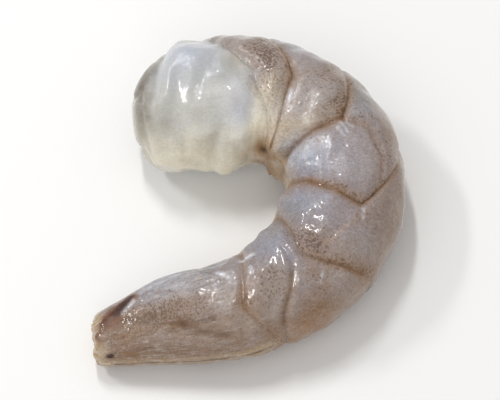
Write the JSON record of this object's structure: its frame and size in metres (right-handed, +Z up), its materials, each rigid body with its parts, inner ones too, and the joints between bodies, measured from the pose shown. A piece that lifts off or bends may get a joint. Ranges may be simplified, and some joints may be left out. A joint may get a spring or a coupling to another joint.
{
  "type": "peeled shrimp",
  "caption": "Raw peeled shrimp lying curled on its side, with head, shell and tail fan off: a bare stub of meat and ringed, tapering segments.",
  "frame": {"origin": "middle of the bounding box, on the surface that the shrimp lies on", "axes": "+Z up, through the upper flank; +Y from the tail's side of the curl to the head's side; -X out of the open side of the curl"},
  "size_m": [0.0484, 0.0562, 0.0181],
  "materials": {
    "raw_meat": "wet, translucent grey-blue meat with brown specks"
  },
  "bodies": {
    "root": {"shrimp_meat": "raw_meat"}
  },
  "joints": []
}
